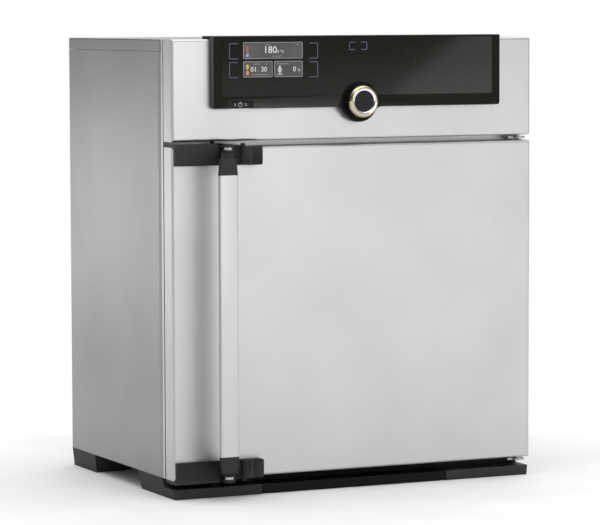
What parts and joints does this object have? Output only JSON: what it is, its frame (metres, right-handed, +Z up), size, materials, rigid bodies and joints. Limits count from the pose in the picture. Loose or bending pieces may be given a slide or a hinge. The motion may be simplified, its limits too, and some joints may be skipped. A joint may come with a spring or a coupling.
{
  "type": "laboratory incubator",
  "caption": "Bench-top laboratory incubator: stainless housing, hinged door with swing handle, knob-operated control panel, ribbed chamber with wire shelves.",
  "frame": {"origin": "on the floor under the centre of the whole bounding box", "axes": "+X to the right seen from the front, +Y from the door to the rear, +Z up"},
  "size_m": [0.585, 0.49, 0.6675],
  "materials": {
    "textured_stainless": "fine rolled texture, satin",
    "brushed_stainless": "fine brushed, satin",
    "polished_stainless": "smooth, bright",
    "zinc_plated_steel": "zinc plated, matt",
    "handle_metal": "fine satin",
    "pin_steel": "turned, bright",
    "knob_metal": "turned, champagne tint",
    "black_moulding": "fine grained",
    "panel_moulding": "smooth satin",
    "foot_plastic": "satin",
    "cover_plastic": "satin",
    "panel_glass": "smooth and glossy",
    "knob_face_gloss": "glossy",
    "key_plastic": "glossy",
    "screen": "lit display",
    "seal_silicone": "matt",
    "spacer_rubber": "matt",
    "mineral_wool": "fibrous",
    "heater_foil": "foil",
    "circuit_board": "solder mask",
    "component_plastic": "matt",
    "contact_brass": "bright"
  },
  "bodies": {
    "housing": {"outer_casing": "textured_stainless", "top_cover": "textured_stainless", "header_fascia": "brushed_stainless", "front_frame": "brushed_stainless", "chamber_liner": "polished_stainless", "temperature_sensor": "polished_stainless", "rear_panel": "zinc_plated_steel", "base_plate": "zinc_plated_steel", "electronics_deck": "zinc_plated_steel", "header_brackets": "zinc_plated_steel", "power_supply": "zinc_plated_steel", "exhaust_duct": "zinc_plated_steel", "hinge_pin_upper": "pin_steel", "hinge_pin_lower": "pin_steel", "catch_stud_upper": "pin_steel", "catch_stud_lower": "pin_steel", "hinge_leaf_upper": "pin_steel", "hinge_leaf_lower": "pin_steel", "rear_panel_screws": "pin_steel", "control_bezel": "panel_moulding", "foot_front_left": "foot_plastic", "foot_front_right": "foot_plastic", "foot_rear_left": "foot_plastic", "foot_rear_right": "foot_plastic", "foot_cover": "cover_plastic", "control_glass": "panel_glass", "display_module": "screen", "rear_spacers": "spacer_rubber", "chamber_insulation": "mineral_wool", "side_heaters": "heater_foil", "floor_and_roof_heaters": "heater_foil", "control_board": "circuit_board", "board_posts": "component_plastic", "switch_body": "component_plastic", "encoder_body": "component_plastic", "flap_motor": "component_plastic", "mains_inlet": "component_plastic", "inlet_pins": "contact_brass"},
    "door": {"door_skin": "brushed_stainless", "door_hinge_block_upper": "pin_steel", "door_hinge_block_lower": "pin_steel", "door_inner_panel": "polished_stainless", "door_insulation": "mineral_wool", "door_seal": "seal_silicone", "latch_bracket_upper": "black_moulding", "latch_bracket_lower": "black_moulding"},
    "handle": {"handle_bar": "handle_metal", "lever_upper": "black_moulding", "lever_lower": "black_moulding", "pivot_pins": "pin_steel", "latch_fingers": "black_moulding"},
    "knob_shaft": {"knob_shaft": "pin_steel"},
    "knob": {"knob_core": "panel_moulding", "knob_ring": "knob_metal", "knob_face": "knob_face_gloss"},
    "power_key": {"power_button": "key_plastic"},
    "air_flap": {"air_flap": "pin_steel"},
    "lower_shelf": {"shelf_lower": "polished_stainless"},
    "upper_shelf": {"shelf_upper": "polished_stainless"}
  },
  "joints": [
    {"name": "door_hinge", "type": "hinge", "parent": "housing", "child": "door", "pos_m": [0.2805, -0.175, 0.26825], "axis": [0, 0, 1], "range_deg": [0, 110]},
    {"name": "handle_turn", "type": "hinge", "parent": "door", "child": "handle", "pos_m": [-0.2125, -0.204, 0.26825], "axis": [0, 0, 1], "range_deg": [-45, 0]},
    {"name": "knob_turn", "type": "hinge", "parent": "housing", "child": "knob_shaft", "pos_m": [0, -0.209, 0.5713], "axis": [0, 1, 0], "continuous": true},
    {"name": "knob_push", "type": "slide", "parent": "knob_shaft", "child": "knob", "axis": [0, 1, 0], "range_m": [0, 0.001], "stiffness_N_per_m": 2000, "springref_m": -0.001},
    {"name": "power_key_press", "type": "slide", "parent": "housing", "child": "power_key", "axis": [0, 1, 0], "range_m": [0, 0.002], "stiffness_N_per_m": 1000, "springref_m": -0.001},
    {"name": "air_flap_turn", "type": "hinge", "parent": "housing", "child": "air_flap", "pos_m": [0.1, 0.183, 0.35825], "axis": [1, 0, 0], "range_deg": [0, 90]},
    {"name": "lower_shelf_slide", "type": "slide", "parent": "housing", "child": "lower_shelf", "axis": [0, -1, 0], "range_m": [0, 0.1733]},
    {"name": "upper_shelf_slide", "type": "slide", "parent": "housing", "child": "upper_shelf", "axis": [0, -1, 0], "range_m": [0, 0.0965]}
  ],
  "couplings": [
    {"joint": "lower_shelf_slide", "follows": "door_hinge", "m_per_rad": 0.09},
    {"joint": "upper_shelf_slide", "follows": "door_hinge", "m_per_rad": 0.05}
  ]
}
